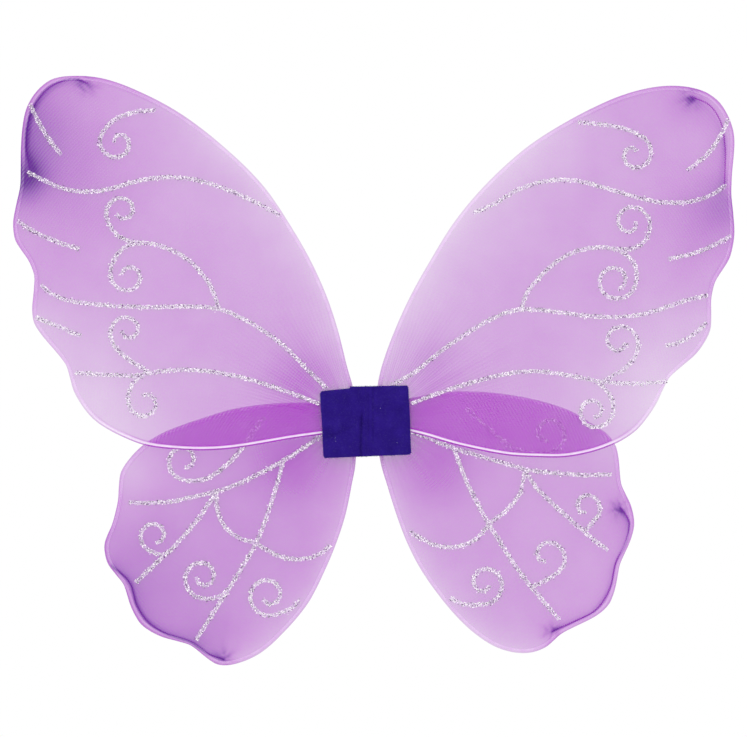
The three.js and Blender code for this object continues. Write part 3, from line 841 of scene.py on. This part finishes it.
def toe_seam(name):
    """Overlock stitching: a core with a thread wound along it."""
    low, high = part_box(f"toe_seam_{name}")
    middle = smooth_path(seam_path(name), 160)
    height = (low[1] + high[1]) / 2
    core = np.stack([middle[:, 0], np.full(len(middle), height), middle[:, 1]], axis=1)
    obj = tube(f"overlock_{name}", core, SEAM_CORE, 8, MATERIALS["seam"])
    length = np.linalg.norm(np.diff(middle, axis=0), axis=1).sum()
    turns = length / SEAM_PITCH
    line = smooth_path(seam_path(name), int(turns * 8))
    ahead = np.gradient(line, axis=0)
    ahead /= np.linalg.norm(ahead, axis=1)[:, None]
    angle = np.linspace(0, turns * 2 * math.pi, len(line))
    sideways = SEAM_HALF_WIDTH * np.cos(angle)
    wound = np.stack([
        line[:, 0] - ahead[:, 1] * sideways,
        height + SEAM_HALF_HEIGHT * np.sin(angle),
        line[:, 1] + ahead[:, 0] * sideways,
    ], axis=1)
    winding = tube(f"overlock_thread_{name}", wound, SEAM_THREAD, 5, MATERIALS["seam"])
    winding.parent = obj
    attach(obj, f"wing_{name}")
    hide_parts(f"toe_seam_{name}")


# ---------------------------------------------------------------- glitter


def glue_bead(node, front):
    """The CAD stroke again as a soft low bead, just under the flakes."""
    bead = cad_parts[node].copy()
    bead.data = bead.data.copy()
    bead.name = f"bead_{node}"
    for key in [k for k in bead.keys() if k.startswith("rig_")]:
        del bead[key]
    bpy.context.scene.collection.objects.link(bead)
    bead.parent = None
    bead.matrix_world = Matrix.Identity(4)
    back = max(v.co.y for v in bead.data.vertices)
    for vertex in bead.data.vertices:
        on_back = vertex.co.y > back - SAME_PLACE
        vertex.co.y = front + (BEAD_DEPTH if on_back else 0.1 * MM)
    weld = bead.modifiers.new("weld", "WELD")
    weld.merge_threshold = SAME_PLACE
    remesh = bead.modifiers.new("remesh", "REMESH")
    remesh.mode = "VOXEL"
    remesh.voxel_size = 0.55 * MM
    soften = bead.modifiers.new("soften", "SMOOTH")
    soften.iterations = 3
    apply_modifiers(bead)
    bead.data.materials.clear()
    bead.data.materials.append(MATERIALS["glue"])
    bead.data.polygons.foreach_set("use_smooth", [True] * len(bead.data.polygons))
    return bead


def scattered(triangles, scatter, rng):
    """Places in x and z strewn evenly over the triangles, with some stray ones beside them."""
    sides = triangles[:, 1] - triangles[:, 0], triangles[:, 2] - triangles[:, 0]
    areas = np.abs(sides[0][:, 0] * sides[1][:, 1] - sides[0][:, 1] * sides[1][:, 0]) / 2
    count = int(areas.sum() / MM ** 2 * FLAKES_PER_SQUARE_MM)
    chosen = rng.choice(len(triangles), count, p=areas / areas.sum())
    u, v = rng.random(count), rng.random(count)
    over = u + v > 1
    u[over], v[over] = 1 - u[over], 1 - v[over]
    spots = triangles[chosen, 0] + u[:, None] * sides[0][chosen] + v[:, None] * sides[1][chosen]
    spots += rng.normal(0, scatter, spots.shape)
    stray = rng.random(count) < 0.12
    spots[stray] += rng.normal(0, 0.45 * MM, (stray.sum(), 2))
    return spots


def glitter(node, wing, seed):
    """A low bead of glue set with loose silver flakes, five-sided and tilted every way."""
    triangles, front = front_triangles(node)
    bead = glue_bead(node, front)
    rng = np.random.default_rng(seed)
    scatter = UPPER_SCATTER if "upper" in wing else LOWER_SCATTER
    spots = scattered(triangles, scatter, rng)
    count = len(spots)
    kinds = rng.choice(len(FLAKES), count, p=FLAKE_SHARES)
    heights = front - rng.uniform(-0.15, 0.25, count) * MM
    centres = np.stack([spots[:, 0], heights, spots[:, 1]], axis=1)
    tilts = rng.normal(0, 0.45, count), rng.normal(0, 0.45, count)
    normals = np.stack([tilts[0], -np.ones(count), tilts[1]], axis=1)
    normals /= np.linalg.norm(normals, axis=1)[:, None]
    across = np.cross(normals, [0.0, 0.0, 1.0])
    across /= np.linalg.norm(across, axis=1)[:, None]
    other = np.cross(normals, across)
    angle = rng.uniform(0, math.pi, (count, 1)) + np.arange(5) * 2 * math.pi / 5
    radius = rng.uniform(*FLAKE_RADII, (count, 1, 1))
    vertices = centres[:, None] + radius * (
        np.cos(angle)[..., None] * across[:, None] + np.sin(angle)[..., None] * other[:, None])
    faces = np.arange(count * 5).reshape(-1, 5).tolist()
    flakes = new_object(f"flakes_{node}", vertices.reshape(-1, 3), faces, FLAKES, smooth=False)
    flakes.data.polygons.foreach_set("material_index", kinds.astype(np.int32))
    flakes.parent = bead
    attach(bead, wing)
    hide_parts(node)


# ---------------------------------------------------------------- block


def fall_off(distance, width):
    return math.exp(-(distance / width) ** 2)


def between_0_and_1(value):
    return min(max(value, 0.0), 1.0)


def felt_crease(x, z, side):
    """How deep the front felt is creased: one long upright crease, a slanting one beside it
    and two fine folds. All in millimetres."""
    upright = fall_off(x + 3 - 0.4 * math.sin(z / 9), 1.0) * between_0_and_1((9 - z) / 6)
    slant = fall_off(z + 6 - 0.42 * (x + 16), 1.2) if side < 0 and x < -6 else 0
    folds = fall_off(x - 1.6, 0.5) + fall_off(x - 4.6, 0.6)
    return 0.6 * upright + 0.25 * slant + 0.3 * folds * between_0_and_1((z + 16) / 8)


def felt_layers(node, side, bulge, outward):
    """The face and the underside of one half as grids of points, and the face's creases."""
    low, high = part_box(node)
    face_y, under_y = (low[1], high[1]) if outward < 0 else (high[1], low[1])
    outline = front_outline(node)
    tops = np.array(sorted(p for p in outline.tolist() if p[1] > 0))
    bottoms = np.array(sorted(p for p in outline.tolist() if p[1] <= 0))
    outermost = -1 if side > 0 else 0
    half_width = max(p[0] * side for p in outline)
    face, underside, creases = [], [], []
    for s in np.linspace(0, 1, FELT_GRID[0] + 1):
        top_x, low_x = tops[outermost][0] * s, bottoms[outermost][0] * s
        turn = max(CORNER - (1 - s) * half_width, 0.0)
        pull = CORNER - math.sqrt(CORNER ** 2 - turn ** 2)
        top_z = np.interp(top_x, tops[:, 0], tops[:, 1]) - pull
        low_z = np.interp(low_x, bottoms[:, 0], bottoms[:, 1]) + pull
        for t in np.linspace(0, 1, FELT_GRID[1] + 1):
            x = top_x + (low_x - top_x) * t
            z = top_z + (low_z - top_z) * t
            nearest = max(min((1 - s) * half_width, z - low_z, top_z - z), 0.0)
            rounding = FELT_ROUNDING * (1 - min(nearest / CORNER, 1.0)) ** 2
            wobble = EDGE_WOBBLE * math.sin(z / (5.3 * MM) + side) if nearest < MM else 0
            puff = bulge * (1 - s ** 4) * (1 - abs(2 * t - 1) ** 4)
            crease = felt_crease(x / MM, z / MM, side) * (1 if outward < 0 else 0.3)
            place = x + wobble * side * s
            face.append((place, face_y + (puff - CREASE_DEPTH * crease - rounding) * outward, z))
            underside.append((place, under_y + (rounding + 0.6 * puff) * outward, z))
            creases.append(crease)
    return face, underside, creases


def slab_faces():
    """The quads of a slab between two grids of points, closed round its border."""
    across, up = FELT_GRID
    per_row = up + 1
    count = (across + 1) * per_row
    faces = []
    for i in range(across):
        for j in range(up):
            a, b = i * per_row + j, i * per_row + j + 1
            c, d = (i + 1) * per_row + j + 1, (i + 1) * per_row + j
            faces.append((a, b, c, d))
            faces.append((count + d, count + c, count + b, count + a))
    border = list(range(per_row))
    border += [i * per_row + up for i in range(1, across + 1)]
    border += [across * per_row + j for j in range(up - 1, -1, -1)]
    border += [i * per_row for i in range(across - 1, 0, -1)]
    for start, end in zip(border, border[1:] + border[:1]):
        faces.append((start, count + start, count + end, end))
    return faces


def bend_with_wing(obj):
    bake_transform(obj)


def felt_half(name, node, side, bulge, outward):
    """One half of a felt cover: a soft slab with a rounded rim, puffed over what it holds."""
    face, underside, creases = felt_layers(node, side, bulge, outward)
    obj = new_object(name, face + underside, slab_faces(), [MATERIALS["felt"]])
    # crease: how deep the face is creased, which also darkens the felt's colour there as painted
    # shade
    set_attribute(obj, "crease", creases + [0.0] * len(face))
    face_outward(obj)
    bend_with_wing(obj)
    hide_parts(node)
    fuzz(name, face, side, outward)


def edge_fibre(rng, face, rows, columns, side, outward):
    """A short fibre standing out of a cut edge: where it starts, where it goes, its length."""
    i, j = rng.choice(((rows - 1, rng.randrange(columns)), (rng.randrange(rows), 0),
                       (rng.randrange(rows), columns - 1)))
    start = Vector(face[i * columns + j])
    start.y -= outward * rng.uniform(0, 0.8) * MM
    along = Vector((0, 0, start.z)) if i < rows - 1 else Vector((side, 0, 0))
    along = along.normalized() + Vector(
        (rng.gauss(0, 0.8), rng.gauss(0, 0.35), rng.gauss(0, 0.8)))
    return start, along, rng.uniform(0.25, 0.6) * MM


def face_fibre(rng, face, rows, columns, outward):
    """A longer fibre matted on the face, given in the same way."""
    i, j = rng.randrange(1, rows), rng.randrange(1, columns)
    here = Vector(face[i * columns + j])
    start = here.lerp(Vector(face[(i - 1) * columns + j - 1]), rng.random())
    along = Vector((rng.gauss(0, 1), outward * 0.12, rng.gauss(0, 1)))
    return start, along, rng.uniform(0.5, 1.2) * MM


def fuzz(name, face, side, outward):
    """Loose fibres matted on a felt face and standing out along its cut edges."""
    rng = random.Random(name)
    rows, columns = FELT_GRID[0] + 1, FELT_GRID[1] + 1
    vertices, faces = [], []
    for number in range(FIBRES):
        if number < FIBRES * EDGE_FIBRE_SHARE:
            start, along, length = edge_fibre(rng, face, rows, columns, side, outward)
        else:
            start, along, length = face_fibre(rng, face, rows, columns, outward)
        along.normalize()
        across = along.cross(Vector((0, 1, 0))).normalized() * 0.035 * MM
        bend = Vector((rng.gauss(0, 1), outward * abs(rng.gauss(0, 0.5)), rng.gauss(0, 1)))
        halfway = start + along * length * 0.5 + bend * 0.06 * MM
        first = len(vertices)
        for point in (start, halfway, start + along * length):
            vertices += [point - across, point + across]
        faces += [(first, first + 1, first + 3, first + 2),
                  (first + 2, first + 3, first + 5, first + 4)]
    obj = new_object(f"{name}_fibres", vertices, faces, [MATERIALS["fibre"]])
    bend_with_wing(obj)


def felt_covers():
    for node, bulge, outward in (("front_cover", 0.5 * MM, -1), ("back_cover", 0.0, 1)):
        for side, word in ((-1, "left"), (1, "right")):
            felt_half(f"{node}_{word}", node, side, bulge, outward)


def lint():
    """A few pale fibres caught on the felt."""
    low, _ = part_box("front_cover")
    for number, (x, z) in enumerate(FELT_SPECKS):
        y = low[1] - 0.55 * MM
        start = np.array([x * MM, y, z * MM])
        path = [start, start + (0.12 * MM, -0.1 * MM, 0.1 * MM), start + (0.3 * MM, 0, 0.12 * MM)]
        speck = tube(f"lint_{number}", smooth_path(path, 6), 0.08 * MM, 5, MATERIALS["lint"])
        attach(speck, "block")


def lashing(node):
    """Thread wound round the wire legs where they pivot."""
    low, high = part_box(node)
    centre = [(a + b) / 2 for a, b in zip(low, high)]
    radius = (high[0] - low[0]) / 2 - LASHING_THREAD
    height = high[2] - low[2] - 2 * LASHING_THREAD
    turns = max(round(height / (1.9 * LASHING_THREAD)), 2)
    path = []
    for angle in np.linspace(0, 2 * math.pi * turns, 28 * turns):
        rise = low[2] + LASHING_THREAD + height * angle / (2 * math.pi * turns)
        path.append((centre[0] + radius * math.cos(angle), centre[1] + radius * math.sin(angle),
                     rise))
    obj = tube(f"wound_{node}", path, LASHING_THREAD, 8, MATERIALS["lashing"])
    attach(obj, "block")
    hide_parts(node)


def strap(word, side):
    """Woven elastic band with rolled edges, along the CAD strap's run."""
    run = smooth_path(np.array(STRAP_RUN) * MM, 220)
    ahead = np.gradient(run, axis=0)
    ahead /= np.linalg.norm(ahead, axis=1)[:, None]
    outward = np.stack([-ahead[:, 1], ahead[:, 0]], axis=1)
    profile = []
    steps = 9
    for k in range(steps):
        across = -1 + 2 * k / (steps - 1)
        profile.append((across, 1 - 0.25 * abs(across) ** 6))
    profile += [(across, -rise) for across, rise in reversed(profile)]
    vertices, faces = [], []
    for point, normal in zip(run, outward):
        for across, rise in profile:
            lift = 0.46 * STRAP_THICKNESS * rise
            vertices.append((
                side * STRAP_X + across * 0.49 * STRAP_WIDTH,
                point[0] + normal[0] * lift, point[1] + normal[1] * lift,
            ))
    size = len(profile)
    for k in range(len(run) - 1):
        for p in range(size):
            q = (p + 1) % size
            faces.append((k * size + p, k * size + q, (k + 1) * size + q, (k + 1) * size + p))
    faces.append(tuple(range(size - 1, -1, -1)))
    faces.append(tuple(range((len(run) - 1) * size, len(run) * size)))
    obj = new_object(f"elastic_strap_{word}", vertices, faces, [MATERIALS["elastic"]])
    face_outward(obj)
    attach(obj, "block")
    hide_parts(f"strap_{word}")


# ---------------------------------------------------------------- studio


def studio():
    bpy.context.scene.view_settings.view_transform = "Standard"
    world = bpy.data.worlds.new("studio")
    bpy.context.scene.world = world
    world.use_nodes = True
    world.node_tree.nodes["Background"].inputs["Color"].default_value = (1, 1, 1, 1)
    world.node_tree.nodes["Background"].inputs["Strength"].default_value = 1.0
    for name, place, size, energy in (
        ("key", (-1.1, -1.7, 1.5), 1.4, 5.0),
        ("fill", (1.4, -1.5, 0.4), 1.6, 2.0),
        ("rear", (0.3, 1.6, 1.2), 1.4, 3.0),
    ):
        lamp = bpy.data.lights.new(name, "AREA")
        lamp.size = size
        lamp.energy = energy
        holder = bpy.data.objects.new(name, lamp)
        bpy.context.scene.collection.objects.link(holder)
        holder.location = place
        holder.rotation_euler = (-Vector(place)).to_track_quat("-Z", "Y").to_euler()
    bm = bmesh.new()
    bmesh.ops.create_circle(bm, cap_ends=True, radius=FLOOR_RADIUS, segments=96)
    mesh = bpy.data.meshes.new("floor")
    bm.to_mesh(mesh)
    bm.free()
    mesh.materials.append(floor_paint())
    floor = bpy.data.objects.new("floor", mesh)
    floor.location = (0, 0, FLOOR_HEIGHT)
    bpy.context.scene.collection.objects.link(floor)


def camera():
    data = bpy.data.cameras.new("camera")
    data.sensor_width = SENSOR
    data.lens = SENSOR * VIEW_DISTANCE / VIEW_WIDTH
    data.clip_end = 20
    holder = bpy.data.objects.new("camera", data)
    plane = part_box("sleeve_upper_left")[0][1]
    holder.location = VIEW_CENTRE + Vector((0, plane - VIEW_DISTANCE, 0))
    holder.rotation_euler = (math.pi / 2, 0, 0)
    bpy.context.scene.collection.objects.link(holder)
    bpy.context.scene.camera = holder


camera()
studio()
for wing_name, wing_facts in WINGS.items():
    nylon_sleeve(wing_name, wing_facts)
    smooth_wire(wing_name)
    toe_seam(wing_name)
for number, node_name in enumerate(sorted(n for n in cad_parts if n.startswith("glitter_"))):
    owner = next(w for w in WINGS if node_name.startswith(f"glitter_{w}"))
    glitter(node_name, f"wing_{owner}", 100 + number)
felt_covers()
lint()
for strap_word, strap_side in (("left", -1), ("right", 1)):
    strap(strap_word, strap_side)
for node_name, node_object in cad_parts.items():
    if node_name.startswith("lashing"):
        lashing(node_name)
    elif node_name.startswith("bar_tack"):
        paint(node_object, MATERIALS["tack"])
    elif node_name in ("stiffener_card", "spine_strip"):
        paint(node_object, MATERIALS["board"])
